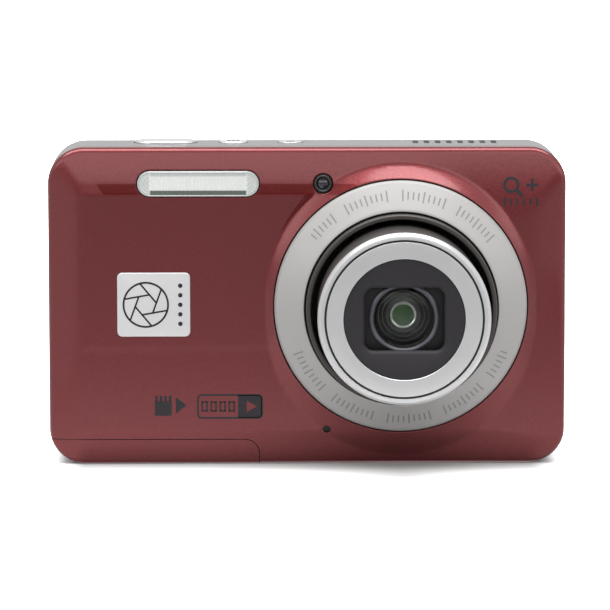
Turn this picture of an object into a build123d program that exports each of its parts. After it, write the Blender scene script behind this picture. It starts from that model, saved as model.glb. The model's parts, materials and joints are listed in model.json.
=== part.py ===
"""Compact digital camera with a retracting zoom lens, built as separate pieces.

Millimetres. The lens looks along -Y, +X is to the right seen from in front of the lens, +Z is up.
The origin is in the middle of the base, half way between the lens front and the rear buttons.
The lens stands extended and its barrier blades stand open, as when the camera is switched on.
"""

import math
import os

from build123d import *

# ---- body shells ----
WIDTH = 91.5
HEIGHT = 56.5
CORNER = 6.4
REAR = 18.1  # rear face; the front face is at y = 0
WALL = 1.2
FACE_WALL = 1.3  # front face and base walls
PARTING = 5.0  # seam between front and rear covers
RIM_DROP = 1.5  # how far the bevels fall back at the outline
BEVEL_TOP = 7.0
BEVEL_BASE = 6.4
BEVEL_SIDE = 5.1
FLAT_CORNER = 3.0
RIM_FILLET = 0.9
REAR_FILLET = 2.2
REAR_INNER = REAR - 1.4
SEAM = 0.15

# ---- lens ----
LENS_X = 16.5
LENS_Z = 28.6
LENS_FRONT = -18.4
RING_R = 22.3
RING_BORE = 17.05
COLLAR_FOOT_R = 24.8
COLLAR_TOP_R = 23.3
COLLAR_RISE = 1.2
FIXED_R = 19.6
BASE_PLATE = 12.8  # front of the plate that carries the image sensor
BARREL_1_R = 16.8
BARREL_1_FRONT = -6.3
BARREL_2_R = 14.8
BARREL_2_REAR = -2.6
CAP_R = 15.0
MASK_R = 10.5
WINDOW_W = 13.8
WINDOW_H = 10.9
BLADE_W = 14.4
BLADE_H = 5.8
BLADE_OPEN = 5.6  # height of an open blade's lower edge above the lens axis
BLADE_PLANE = -16.95

# ---- zoom gears ----
MODULE = 0.5
CAM_TEETH = 72
IDLER_TEETH = 16
PINION_TEETH = 8
GEAR_Y = (9.9, 11.5)
CAM_GEAR_Y = (9.8, 11.6)
IDLER_ANGLE = 222.0  # direction from the lens axis, degrees in the XZ plane
PINION_ANGLE = 215.0  # direction from the idler
AXLE_R = 0.5
RUNNING = 0.05

# ---- focus drive ----
FOCUS_RADIUS = 9.9
FOCUS_ANGLE = 135.0

# ---- controls ----
TOP_Y = 11.5
TOP_BUTTONS = {  # centre x, width, depth
    "shutter_button": (-25.1, 11.0, 6.6),
    "power_button": (-13.0, 4.9, 4.9),
    "video_button": (-2.8, 4.3, 4.3),
}
TOP_BUTTON_RISE = {"shutter_button": 0.45, "power_button": 0.35, "video_button": 0.15}
PAD_X = -30.2
PAD_Z = 25.0
PAD_R = 8.6
KEY_W = 6.8
KEY_H = 4.2
KEYS = {
    "menu_button": (PAD_X - 7.4, PAD_Z + 13.3),
    "playback_button": (PAD_X + 7.4, PAD_Z + 13.3),
    "delete_button": (PAD_X - 7.4, PAD_Z - 13.3),
    "display_button": (PAD_X + 7.4, PAD_Z - 13.3),
}
KEY_TOP = 18.4
ROCKER_X = -31.5
ROCKER_Z = 49.4
ROCKER_W = 13.0
ROCKER_H = 4.6
GAP = 0.2  # all round a button

# ---- battery door ----
DOOR_RIGHT = -8.5
DOOR_TOP = 4.5
DOOR_CORNER = 2.6
PIN_Y = 14.4
PIN_Z = 1.1
PIN_R = 0.45
NOSE_R = 1.1
KNUCKLE_R = 0.75
TRENCH_R = 1.42  # clears the door's rear edge as it swings
NOSES = ((-35.6, -28.9), (-22.0, -11.9))
KNUCKLE = (-28.6, -24.6)
EARS = ((-41.0, -38.2), (-11.7, -8.7))
TRENCH_LEFT = -43.1
DOOR_TRAVEL = 2.4

# ---- front details ----
FLASH_X = -19.2
FLASH_Z = 50.2
FLASH_W = 21.4
FLASH_H = 4.4
LAMP_X = 2.8
LAMP_Z = 50.2
LAMP_R = 1.6
MIC_X = 3.5
MIC_Z = 6.4
MIC_R = 0.65
BADGE_X = -27.1
BADGE_Z = 28.8
BADGE_W = 12.9
BADGE_H = 11.4

# ---- screen ----
SCREEN_X = 13.2
SCREEN_Z = 28.3
SCREEN_W = 59.4
SCREEN_H = 48.6
SCREEN_SEAT = 17.25

# ---- tripod socket ----
SOCKET_X = 16.5
SOCKET_Y = 10.4
SOCKET_BORE = 3.2
SOCKET_R = 4.4
SOCKET_TOP = 6.2
SOCKET_DEPTH = 5.4

# ---- left side: port cover and strap lug ----
PORT_Y = (9.7, 13.5)
PORT_Z = (20.2, 30.1)
PORT_T = 1.15
LUG_Y = (10.4, 13.6)
LUG_Z = (6.4, 11.8)
LUG_BAR_X = -45.35
LUG_BAR_Z = (7.5, 10.7)
SIDE = WIDTH / 2


# ================= helpers =================
def edges_at(solid, y):
    """The edges that lie wholly at one y."""
    boxes = [(edge, edge.bounding_box()) for edge in solid.edges()]
    return [edge for edge, b in boxes if max(abs(b.min.Y - y), abs(b.max.Y - y)) < 1e-3]


def prism(sketch, y0, y1):
    """A sketch drawn in X and Z, filled from y0 to y1."""
    return extrude(Plane.XZ.offset(-y1) * sketch, amount=y1 - y0)


def box(x, y, z):
    """A block from three (low, high) pairs."""
    size = [b - a for a, b in (x, y, z)]
    middle = [(a + b) / 2 for a, b in (x, y, z)]
    return Pos(*middle) * Box(*size)


def rod_x(y, z, radius, x0, x1):
    return Pos((x0 + x1) / 2, y, z) * Rot(0, 90, 0) * Cylinder(radius, x1 - x0)


def rod_y(x, z, radius, y0, y1):
    return Pos(x, (y0 + y1) / 2, z) * Rot(90, 0, 0) * Cylinder(radius, y1 - y0)


def rod_z(x, y, radius, z0, z1):
    return Pos(x, y, (z0 + z1) / 2) * Cylinder(radius, z1 - z0)


def turned(points):
    """A (radius, y) outline turned about the lens axis."""
    face = make_face(Polyline(*points, close=True))
    return Pos(LENS_X, 0, LENS_Z) * revolve(face, axis=Axis.Y)


def tube(outer, inner, y0, y1):
    return turned([(inner, y0), (outer, y0), (outer, y1), (inner, y1)])


def element(radius, front, front_edge, rear_edge, rear):
    """A glass lens element on the lens axis; front and rear are its apexes."""
    def arc(apex, edge):
        half = apex + (edge - apex) * 0.25
        return ThreePointArc((0, apex), (radius / 2, half), (radius, edge))

    outline = [
        arc(front, front_edge),
        Line((radius, front_edge), (radius, rear_edge)),
        arc(rear, rear_edge),
        Line((0, rear), (0, front)),
    ]
    return Pos(LENS_X, 0, LENS_Z) * revolve(make_face(outline), axis=Axis.Y)


def polar(centre, distance, degrees):
    angle = math.radians(degrees)
    return (centre[0] + distance * math.cos(angle), centre[1] + distance * math.sin(angle))


def pill(x, z, width, height):
    """A slot outline, or a circle where the two sizes are the same."""
    shape = Circle(width / 2) if width == height else SlotOverall(width, height)
    return Pos(x, z) * shape


def gear(centre, teeth, tooth_at, y0, y1):
    """A spur gear with involute flanks; one tooth points in the direction tooth_at, in radians."""
    pitch = MODULE * teeth / 2
    root, tip = pitch - 1.15 * MODULE, pitch + 0.8 * MODULE
    pressure = math.radians(20)
    base = pitch * math.cos(pressure)
    half_pitch_angle = math.pi / (2 * teeth) * 0.82  # thinned for backlash

    def involute(radius):
        turn = math.acos(min(1.0, base / radius))
        return math.tan(turn) - turn

    def half_angle(radius):
        return half_pitch_angle + involute(pitch) - involute(max(radius, base))

    radii = [root, max(base, root) + 0.02, pitch, tip]
    points = []
    for tooth in range(teeth):
        middle = tooth_at + 2 * math.pi * tooth / teeth
        for side, ordered in ((-1, radii), (1, radii[::-1])):
            for radius in ordered:
                angle = middle + side * max(half_angle(radius), 0.004)
                points.append((centre[0] + radius * math.cos(angle), centre[1] + radius * math.sin(angle)))
    return prism(make_face(Polyline(*points, close=True)), y0, y1)


# ================= body shells =================
def outline(inset):
    return Pos(0, HEIGHT / 2) * RectangleRounded(WIDTH - 2 * inset, HEIGHT - 2 * inset, CORNER - inset)


def flat(inset):
    width = WIDTH - 2 * BEVEL_SIDE - 2 * inset
    height = HEIGHT - BEVEL_TOP - BEVEL_BASE - 2 * inset
    middle = (BEVEL_BASE + HEIGHT - BEVEL_TOP) / 2
    return Pos(0, middle) * RectangleRounded(width, height, FLAT_CORNER)


def form(inset, front, rear):
    """The camera's rounded block with bevelled front, pulled in by inset."""
    rim = front + RIM_DROP
    bevels = loft([Plane.XZ.offset(-front) * flat(inset / 2), Plane.XZ.offset(-rim) * outline(inset)], ruled=True)
    return bevels + prism(outline(inset), rim, rear)


def outer_form():
    solid = form(0, 0, REAR)
    solid = fillet(edges_at(solid, RIM_DROP), RIM_FILLET)
    return fillet(edges_at(solid, REAR), REAR_FILLET)


def shell():
    return outer_form() - form(WALL, FACE_WALL, REAR_INNER)


def door_outline(gap):
    """The seam of the battery door seen from the front, open to the left and below."""
    left, low = -WIDTH, -HEIGHT
    right, top, corner = DOOR_RIGHT + gap, DOOR_TOP + gap, DOOR_CORNER + gap
    bend = corner * (1 - math.sqrt(0.5))
    return make_face([
        Line((left, low), (left, top)),
        Line((left, top), (right - corner, top)),
        ThreePointArc((right - corner, top), (right - bend, top - bend), (right, top - corner)),
        Line((right, top - corner), (right, low)),
        Line((right, low), (left, low)),
    ])


def door_space(walls):
    """What the two covers leave free for the battery door."""
    swept_nose = rod_x(PIN_Y, PIN_Z, TRENCH_R, TRENCH_LEFT, DOOR_RIGHT + SEAM)
    return walls - prism(door_outline(SEAM), -PARTING, PIN_Y + SEAM) - swept_nose


def front_cover(walls):
    collar = turned([
        (RING_R + 0.2, FACE_WALL),
        (RING_R + 0.2, -COLLAR_RISE),
        (COLLAR_TOP_R, -COLLAR_RISE),
        (COLLAR_FOOT_R, 0.4),
        (COLLAR_FOOT_R, FACE_WALL),
    ])
    half = walls & box((-WIDTH, WIDTH), (-PARTING, PARTING), (-HEIGHT, 2 * HEIGHT))
    half = half + collar
    ledge = 0.6
    half -= rod_y(LENS_X, LENS_Z, RING_R + 0.2, -PARTING, ledge)
    half -= rod_y(LENS_X, LENS_Z, FIXED_R + 0.8, -PARTING, PARTING)
    half -= prism(pill(FLASH_X, FLASH_Z, FLASH_W + 2 * SEAM, FLASH_H + 2 * SEAM), -PARTING, PARTING)
    half -= rod_y(LAMP_X, LAMP_Z, LAMP_R + SEAM, -PARTING, PARTING)
    half -= rod_y(MIC_X, MIC_Z, MIC_R, -PARTING, PARTING)
    return half


SIDE_SCREWS = ((SIDE, 12.0), (SIDE, 44.0), (-SIDE, 40.0))
BASE_SCREWS = (-4.2, 33.0)
SCREW_Y = 11.0
HEAD_R = 1.2
HEAD_DEPTH = 0.7
SHANK_R = 0.7
SHANK_LENGTH = 2.4


def screw(radius_gap):
    """A small countersunk-flush screw standing on its head, its shank up from z = 0."""
    head = rod_z(0, 0, HEAD_R + radius_gap, 0.15 if radius_gap == 0 else -1.0, HEAD_DEPTH)
    return head + rod_z(0, 0, SHANK_R + radius_gap, HEAD_DEPTH, SHANK_LENGTH)


def screw_places():
    places = [Pos(x, SCREW_Y, 0) for x in BASE_SCREWS]
    for x, z in SIDE_SCREWS:
        places.append(Pos(x, SCREW_Y, z) * Rot(0, -90 if x > 0 else 90, 0))
    return places


def cover_screws():
    cross = box((-0.75, 0.75), (-0.14, 0.14), (0, 0.45)) + box((-0.14, 0.14), (-0.75, 0.75), (0, 0.45))
    return [place * (screw(0) - cross) for place in screw_places()]


def rear_cover(walls):
    half = walls & box((-WIDTH, WIDTH), (PARTING, 2 * REAR), (-HEIGHT, 2 * HEIGHT))
    half -= prism(Pos(SCREEN_X, SCREEN_Z) * RectangleRounded(SCREEN_W, SCREEN_H, 2.5), SCREEN_SEAT, REAR + 1)
    half -= box((SCREEN_X - 26.2, SCREEN_X + 26.2), (REAR_INNER - 1, REAR), (8.2, 48.6))
    for name, (x, width, depth) in TOP_BUTTONS.items():
        half -= extrude(Pos(x, TOP_Y, HEIGHT - 2) * top_outline(width, depth, GAP), amount=3)
    for x, z in KEYS.values():
        half -= prism(pill(x, z, KEY_W + 2 * GAP, KEY_H + 2 * GAP), REAR_INNER - 1, REAR + 1)
    half -= rod_y(PAD_X, PAD_Z, PAD_R + 2 * GAP, REAR_INNER - 1, REAR + 1)
    half -= prism(pill(ROCKER_X, ROCKER_Z, ROCKER_W + 3 * GAP, ROCKER_H + 2 * GAP), REAR_INNER - 1, REAR + 1)
    half -= rod_z(SOCKET_X, SOCKET_Y, SOCKET_R + 0.05, -1, 3)
    half -= box((-SIDE - 1, -SIDE + 3), (PORT_Y[0] - SEAM, PORT_Y[1] + SEAM), (PORT_Z[0] - SEAM, PORT_Z[1] + SEAM))
    half -= box((-SIDE - 1, -SIDE + 3), LUG_Y, LUG_Z)
    for x in range(SPEAKER_SLOTS):
        slot = Pos(SPEAKER_X + x * SPEAKER_PITCH, TOP_Y, HEIGHT - 2) * Rot(0, 0, 90) * SlotOverall(5.0, 1.0)
        half -= extrude(slot, amount=3)
    for place in screw_places():
        half -= place * screw(0.05)
    return half


SPEAKER_SLOTS = 8
SPEAKER_X = 19.5
SPEAKER_PITCH = 2.0


def top_outline(width, depth, grow):
    shape = Circle(width / 2 + grow) if width == depth else SlotOverall(width + 2 * grow, depth + 2 * grow)
    return shape


# ================= lens =================
def lens_ring():
    return turned([
        (RING_R, 0.6),
        (RING_R, -1.25),
        (RING_R - 0.35, -1.7),
        (RING_BORE + 0.45, -4.35),
        (RING_BORE + 0.15, -4.5),
        (RING_BORE, -4.4),
        (RING_BORE, -0.8),
        (RING_BORE + 0.9, -0.8),
        (RING_BORE + 0.9, -3.1),
        (RING_R - 1.0, -1.0),
        (RING_R - 1.0, 0.6),
    ])


IDLER = polar((LENS_X, LENS_Z), MODULE * (CAM_TEETH + IDLER_TEETH) / 2, IDLER_ANGLE)
PINION = polar(IDLER, MODULE * (IDLER_TEETH + PINION_TEETH) / 2, PINION_ANGLE)
FOCUS = polar((LENS_X, LENS_Z), FOCUS_RADIUS, FOCUS_ANGLE)


def fixed_barrel():
    """Guide tube with the sensor plate and a gearbox lug carrying the idler's axle."""
    body = tube(FIXED_R, FIXED_R - 1.0, -0.6, BASE_PLATE)
    body += rod_y(LENS_X, LENS_Z, FIXED_R, BASE_PLATE, BASE_PLATE + 1)
    lug = box((PINION[0] - 4.0, LENS_X - 10), (BASE_PLATE, BASE_PLATE + 1), (6.2, 18.5))
    body += lug
    body -= rod_y(*IDLER, MODULE * IDLER_TEETH / 2 + 0.8, CAM_GEAR_Y[0] - 0.3, CAM_GEAR_Y[1] + 0.3)
    body += rod_y(*IDLER, AXLE_R, GEAR_Y[0] - 0.2, BASE_PLATE + 0.5)
    body -= box((LENS_X - 5.2, LENS_X + 5.2), (BASE_PLATE - 1, BASE_PLATE + 2), (LENS_Z - 4.2, LENS_Z + 4.2))
    return body


def cam_barrel():
    rim = tube(BARREL_1_R + 1.1, BARREL_1_R + 0.25, 0.2, CAM_GEAR_Y[0])
    teeth = gear((LENS_X, LENS_Z), CAM_TEETH, math.radians(IDLER_ANGLE), *CAM_GEAR_Y)
    teeth -= rod_y(LENS_X, LENS_Z, BARREL_1_R + 0.25, 0, BASE_PLATE)
    return rim + teeth


def idler_gear():
    tooth = math.radians(IDLER_ANGLE) + math.pi + math.pi / IDLER_TEETH
    body = gear(IDLER, IDLER_TEETH, tooth, *GEAR_Y)
    return body - rod_y(*IDLER, AXLE_R + RUNNING, GEAR_Y[0] - 1, GEAR_Y[1] + 1)


def motor_pinion():
    """The pinion's teeth fill the gaps between the idler's teeth on the line between their centres."""
    idler_tooth = math.radians(IDLER_ANGLE) + math.pi + math.pi / IDLER_TEETH
    pitch = 2 * math.pi / IDLER_TEETH
    off = (idler_tooth - math.radians(PINION_ANGLE) + pitch / 2) % pitch - pitch / 2
    gap = math.radians(PINION_ANGLE) + math.pi - off * IDLER_TEETH / PINION_TEETH
    body = gear(PINION, PINION_TEETH, gap + math.pi / PINION_TEETH, *GEAR_Y)
    return body + rod_y(*PINION, AXLE_R, 7.0, GEAR_Y[1] + 0.4)


def zoom_motor():
    body = rod_y(*PINION, 4.0, 1.9, 8.6) + rod_y(*PINION, 1.6, 8.6, 9.5)
    return body - rod_y(*PINION, AXLE_R + RUNNING, 6.8, 10)


def barrel_1():
    """Outer moving barrel with a stepped front lip."""
    inner = BARREL_1_R - 0.9
    return turned([
        (inner, BARREL_1_FRONT + 0.1),
        (inner + 0.1, BARREL_1_FRONT),
        (BARREL_1_R - 0.2, BARREL_1_FRONT),
        (BARREL_1_R, BARREL_1_FRONT + 0.2),
        (BARREL_1_R, 5.7),
        (inner, 5.7),
    ])


def barrel_2():
    """Inner moving barrel with the cell that holds the front glass."""
    cell_front = -15.6
    return turned([
        (BARREL_2_R - 1.2, -17.0),
        (BARREL_2_R - 1.2, cell_front),
        (5.5, cell_front),
        (5.5, -15.1),
        (6.0, -15.1),
        (6.0, -11.4),
        (7.0, -11.4),
        (7.0, cell_front + 0.9),
        (BARREL_2_R - 1.2, cell_front + 0.9),
        (BARREL_2_R - 1.2, BARREL_2_REAR),
        (BARREL_2_R, BARREL_2_REAR),
        (BARREL_2_R, -17.0),
    ])


def front_cap():
    """Bright trim ring: flat face, a fine groove and a rounded lip."""
    return turned([
        (MASK_R + 0.1, LENS_FRONT + 0.15),
        (MASK_R + 0.25, LENS_FRONT),
        (13.45, LENS_FRONT),
        (13.6, LENS_FRONT + 0.35),
        (13.75, LENS_FRONT + 0.35),
        (13.9, LENS_FRONT + 0.1),
        (14.6, LENS_FRONT + 0.2),
        (CAP_R, LENS_FRONT + 0.7),
        (CAP_R, -17.0),
        (MASK_R + 1.5, -17.0),
        (MASK_R + 1.5, LENS_FRONT + 0.75),
        (MASK_R + 0.1, LENS_FRONT + 0.75),
    ])


def front_mask():
    """Dark disc with the picture-shaped window, sunk into the trim ring."""
    disc = rod_y(LENS_X, LENS_Z, MASK_R, LENS_FRONT + 0.25, LENS_FRONT + 0.8)
    disc += rod_y(LENS_X, LENS_Z, MASK_R + 1.4, LENS_FRONT + 0.8, -17.1)
    straight = Pos(LENS_X, LENS_Z) * RectangleRounded(WINDOW_W, WINDOW_H, 1.6)
    flared = Pos(LENS_X, LENS_Z) * RectangleRounded(WINDOW_W + 1.0, WINDOW_H + 1.0, 2.1)
    front = LENS_FRONT + 0.25
    funnel = loft([Plane.XZ.offset(-front) * flared, Plane.XZ.offset(-front - 0.5) * straight], ruled=True)
    return disc - prism(straight, front - 1, -16) - funnel


def barrier_blade(upward):
    """One of two blades that close over the window from above and below."""
    low = BLADE_OPEN
    corner = 1.3
    half = BLADE_W / 2
    outline_points = [
        (-half, low),
        (half, low),
        (half, low + BLADE_H - corner),
        (half - corner, low + BLADE_H),
        (corner - half, low + BLADE_H),
        (-half, low + BLADE_H - corner),
    ]
    points = [(LENS_X + x, LENS_Z + upward * z) for x, z in outline_points]
    return prism(make_face(Polyline(*points, close=True)), BLADE_PLANE, BLADE_PLANE + 0.35)


def lens_group_1():
    return [element(5.95, -16.0, -14.9, -14.6, -13.6), element(5.95, -13.2, -13.5, -12.3, -11.8)]


def shutter_unit():
    """Second group's carrier with the shutter housing and a hole that clears the focus screw."""
    body = turned([(2.6, -6.0), (9.0, -6.0), (9.0, -4.6), (13.0, -4.6), (13.0, -2.9), (9.0, -2.9),
                   (9.0, -2.2), (4.2, -2.2), (4.2, -5.4), (2.6, -5.4)])
    return body - rod_y(*FOCUS, 1.2, -7, 0)


def lens_group_2():
    return [element(4.15, -5.2, -4.9, -4.4, -4.6), element(4.15, -4.2, -3.7, -2.9, -2.4)]


def lens_3_cell():
    body = tube(5.9, 4.9, 8.7, 10.7)
    arm = Pos(LENS_X, 0, LENS_Z) * Rot(0, -FOCUS_ANGLE, 0) * box((5.3, 11.0), (8.7, 9.5), (-1.3, 1.3))
    return body + arm - rod_y(*FOCUS, 0.55, 8, 10)


def focus_motor():
    return rod_y(*FOCUS, 2.5, 9.75, 12.7) - rod_y(*FOCUS, 0.35, 9, 12.0)


def focus_screw():
    screw_body = rod_y(*FOCUS, 0.45, 5.4, 9.7)
    for turn in range(8):
        groove = 5.7 + 0.5 * turn
        screw_body -= rod_y(*FOCUS, 0.6, groove, groove + 0.2) - rod_y(*FOCUS, 0.36, groove - 1, groove + 1)
    return screw_body + rod_y(*FOCUS, 0.3, 9.6, 11.7)


def image_sensor():
    glass = box((LENS_X - 4.4, LENS_X + 4.4), (12.2, 12.7), (LENS_Z - 3.4, LENS_Z + 3.4))
    carrier = box((LENS_X - 5.0, LENS_X + 5.0), (12.7, 14.0), (LENS_Z - 4.0, LENS_Z + 4.0))
    return carrier + glass


# ================= battery door =================
def battery_door(walls):
    door = walls & prism(door_outline(0), -PARTING, PIN_Y)
    for x0, x1 in NOSES:
        door += rod_x(PIN_Y, PIN_Z, NOSE_R, x0, x1)
    door -= rod_x(PIN_Y, PIN_Z, PIN_R + 0.12, -WIDTH, 0)
    for x in ((EARS[0][0] - 0.2, NOSES[0][0]), (NOSES[0][1], NOSES[1][0]), (NOSES[1][1], DOOR_RIGHT)):
        door -= box(x, (PIN_Y - 1.1, PIN_Y + 2), (0.25, 3.0))
    return door


def door_leaf():
    """Metal plate that swings on the pin; the door slides along it."""
    plate = box((-36.0, -16.0), (3.2, PIN_Y - 1.6), (1.45, 1.85))
    arm = box(KNUCKLE, (PIN_Y - 1.7, PIN_Y - 0.4), (1.45, 1.85))
    knuckle = rod_x(PIN_Y, PIN_Z, KNUCKLE_R, *KNUCKLE)
    return plate + arm + knuckle - rod_x(PIN_Y, PIN_Z, PIN_R + RUNNING, *(KNUCKLE[0] - 1, KNUCKLE[1] + 1))


def door_pin():
    return rod_x(PIN_Y, PIN_Z, PIN_R, EARS[0][0], EARS[1][1])


def chassis():
    """Folded steel frame: rear rail, base plate and the two ears that hold the door pin."""
    frame = box((-40.2, 40.2), (16.0, 16.5), (1.5, 5.8))
    frame += box((-8.0, 40.2), (5.6, 16.0), (1.5, 2.1))
    for x in EARS:
        frame += rod_x(PIN_Y, PIN_Z, KNUCKLE_R, *x) + box(x, (PIN_Y, 16.1), (PIN_Z, PIN_Z + KNUCKLE_R))
        frame -= rod_x(PIN_Y, PIN_Z, PIN_R + 0.02, x[0] - 0.01, x[1] + 0.01)
    frame -= rod_z(SOCKET_X, SOCKET_Y, SOCKET_R + 0.1, 1, 3)
    for x in BASE_SCREWS:
        frame -= rod_z(x, SCREW_Y, SHANK_R + 0.1, 1, 3)
    return frame


def tripod_socket():
    body = rod_z(SOCKET_X, SOCKET_Y, SOCKET_R, 0, SOCKET_TOP) + rod_z(SOCKET_X, SOCKET_Y, SOCKET_R + 1.0, 2.1, 2.8)
    return body - rod_z(SOCKET_X, SOCKET_Y, SOCKET_BORE, -1, SOCKET_DEPTH)


# ================= power and card =================
BATTERY_X = (-42.3, -11.3)
BATTERY_Y = (3.2, 9.0)
BATTERY_Z = (4.0, 43.0)


def battery():
    return fillet(box(BATTERY_X, BATTERY_Y, BATTERY_Z).edges().filter_by(Axis.Z), 1.2)


def battery_holder():
    outer = box((-43.2, -10.4), (2.4, 9.45), (6.2, 45.4))
    return outer - box((-42.4, -11.2), (3.1, 9.1), (5, 44.6))


def battery_contacts():
    return [box((x, x + 1.6), (4.6, 7.6), (BATTERY_Z[1], 44.6)) for x in (-39.5, -35.5, -31.5)]


def battery_latch():
    block = box((-10.9, -9.2), (4.6, 7.4), (2.45, 5.8))
    return block + box((-12.6, -10.9), (4.6, 7.4), (2.9, 3.7))


CARD_X = (-38.8, -14.8)


def memory_card():
    card = box(CARD_X, (10.05, 12.15), (4.6, 36.6))
    return card - Pos(CARD_X[1], 11.1, 36.6) * Rot(0, 45, 0) * Box(5.2, 4, 5.2)


def card_slot():
    cage = box((CARD_X[0] - 0.6, CARD_X[1] + 0.6), (9.65, 12.55), (8.0, 37.6))
    return cage - box((CARD_X[0] - 0.15, CARD_X[1] + 0.15), (9.95, 12.25), (7, 37.2))


# ================= flash =================
def flash_window():
    lens = prism(pill(FLASH_X, FLASH_Z, FLASH_W, FLASH_H), -0.1, 1.9)
    return fillet(edges_at(lens, -0.1), 0.35)


def flash_reflector():
    x = (FLASH_X - 10.4, FLASH_X + 10.4)
    block = box(x, (2.4, 7.9), (FLASH_Z - 2.5, FLASH_Z + 2.5))
    dish = rod_x(4.6, FLASH_Z, 2.2, x[0] + 0.4, x[1] - 0.4)
    mouth = box((x[0] + 0.4, x[1] - 0.4), (1.5, 4.6), (FLASH_Z - 2.2, FLASH_Z + 2.2))
    bore = rod_x(4.9, FLASH_Z, 0.95, x[0] - 1, x[1] + 1)
    return block - dish - mouth - bore


def flash_tube():
    glass = rod_x(4.9, FLASH_Z, 0.9, FLASH_X - 11.2, FLASH_X + 11.2)
    return glass + rod_x(4.9, FLASH_Z, 0.3, FLASH_X - 12.2, FLASH_X + 12.2)


def flash_capacitor():
    can = rod_x(11.1, FLASH_Z, 3.0, -33.0, -9.0)
    ends = [e for e in can.edges() if e.geom_type == GeomType.CIRCLE]
    return fillet(ends, 0.5)


# ================= controls =================
BUTTON_FLOOR = 54.55
KEY_FLOOR = 15.8


def top_button(name):
    x, width, depth = TOP_BUTTONS[name]
    tall = HEIGHT - BUTTON_FLOOR + TOP_BUTTON_RISE[name]
    cap = extrude(Pos(x, TOP_Y, BUTTON_FLOOR) * top_outline(width, depth, 0), amount=tall)
    top = [e for e in cap.edges() if e.bounding_box().min.Z > HEIGHT]
    flange = extrude(Pos(x, TOP_Y, BUTTON_FLOOR) * top_outline(width, depth, 0.5), amount=0.5)
    return fillet(top, 0.3 if TOP_BUTTON_RISE[name] > 0.2 else 0.1) + flange


def key(name):
    x, z = KEYS[name]
    cap = prism(pill(x, z, KEY_W, KEY_H), KEY_FLOOR, KEY_TOP)
    flange = prism(pill(x, z, KEY_W + 1, KEY_H + 1), KEY_FLOOR, KEY_FLOOR + 0.55)
    return fillet(edges_at(cap, KEY_TOP), 0.25) + flange


def nav_ring():
    """Four-way ring, dished on top."""
    points = [(3.75, 15.75), (PAD_R, 15.75), (PAD_R, KEY_TOP - 0.3), (PAD_R - 0.3, KEY_TOP),
              (PAD_R - 1.1, KEY_TOP), (4.2, KEY_TOP - 0.45), (3.75, KEY_TOP - 0.5)]
    face = make_face(Polyline(*points, close=True))
    return Pos(PAD_X, 0, PAD_Z) * revolve(face, axis=Axis.Y)


def nav_web():
    return rod_y(PAD_X, PAD_Z, 6.0, 15.2, 15.5) - rod_y(PAD_X, PAD_Z, 4.2, 15, 16)


def ok_button():
    cap = rod_y(PAD_X, PAD_Z, 3.35, KEY_FLOOR, KEY_TOP - 0.35)
    rim = [e for e in cap.edges() if e.geom_type == GeomType.CIRCLE and e.center().Y > KEY_FLOOR + 1]
    return fillet(rim, 0.25)


def zoom_rocker():
    cap = prism(pill(ROCKER_X, ROCKER_Z, ROCKER_W, ROCKER_H), 15.9, KEY_TOP)
    cap -= rod_z(ROCKER_X, KEY_TOP + 17.8, 18.0, ROCKER_Z - 5, ROCKER_Z + 5)
    return cap


def keypad_board():
    rear = box((-43.0, -18.5), (14.3, 14.9), (8.0, 45.5)) + box((-43.0, -25.5), (14.3, 14.9), (45.5, 52.4))
    top = box((-31.5, 0.5), (8.6, 14.9), (53.3, 53.7))
    return [rear, top]


def tact_switches():
    domes = [rod_y(x, z, 1.5, 14.9, 15.4) for x, z in KEYS.values()]
    for quarter in range(4):
        x, z = polar((PAD_X, PAD_Z), 7.2, 90 * quarter)
        domes.append(rod_y(x, z, 1.0, 14.9, 15.3))
    domes.append(rod_y(PAD_X, PAD_Z, 1.5, 14.9, 15.4))
    domes += [rod_y(ROCKER_X + side * 4.5, ROCKER_Z, 1.2, 14.9, 15.4) for side in (-1, 1)]
    domes += [rod_z(x, TOP_Y, 1.5, 53.7, 53.98) for x, _, _ in TOP_BUTTONS.values()]
    return domes


# ================= side fittings =================
def port_cover():
    """Soft flap over the data port; its lower end is rounded about its hinge."""
    x = (-SIDE, -SIDE + PORT_T)
    hinge_x, hinge_z = -SIDE + PORT_T / 2, PORT_Z[0] + PORT_T / 2
    flap = box(x, PORT_Y, (hinge_z, PORT_Z[1]))
    flap += rod_y(hinge_x, hinge_z, PORT_T / 2, *PORT_Y)
    return flap


def usb_port():
    outer = box((-44.4, -39.8), (10.3, 12.8), (20.9, 29.1))
    return outer - box((-45, -40.3), (10.6, 12.5), (21.3, 28.7)) + box((-43.6, -40.3), (11.4, 11.8), (22.6, 27.4))


def strap_lug():
    """Metal cup set in the side wall with a short bail across its mouth for the strap."""
    low, high = LUG_Z
    cup = box((-44.4, -42.0), (LUG_Y[0] - 0.5, LUG_Y[1] + 0.5), (low - 0.8, high + 0.8))
    cup -= box((-45, -42.7), LUG_Y, LUG_Z)
    middle = (LUG_Y[0] + LUG_Y[1]) / 2
    bail = rod_z(LUG_BAR_X, middle, 0.8, *LUG_BAR_Z)
    for z in (LUG_BAR_Z[0], LUG_BAR_Z[1] - 0.9):
        bail += box((LUG_BAR_X, -42.3), (middle - 0.6, middle + 0.6), (z, z + 0.9))
    return cup + bail


# ================= electronics =================
def board_chips():
    places = ((-38.5, 38.0, 7.0, 6.0), (-28.5, 38.2, 9.0, 6.0), (-17.5, 38.4, 6.0, 5.0))
    return [box((x, x + w), (11.9, 12.9), (z, z + h)) for x, z, w, h in places]


def lcd_window():
    pane = Pos(SCREEN_X, SCREEN_Z) * RectangleRounded(SCREEN_W - 0.2, SCREEN_H - 0.2, 2.4)
    return prism(pane, SCREEN_SEAT, REAR)


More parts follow.
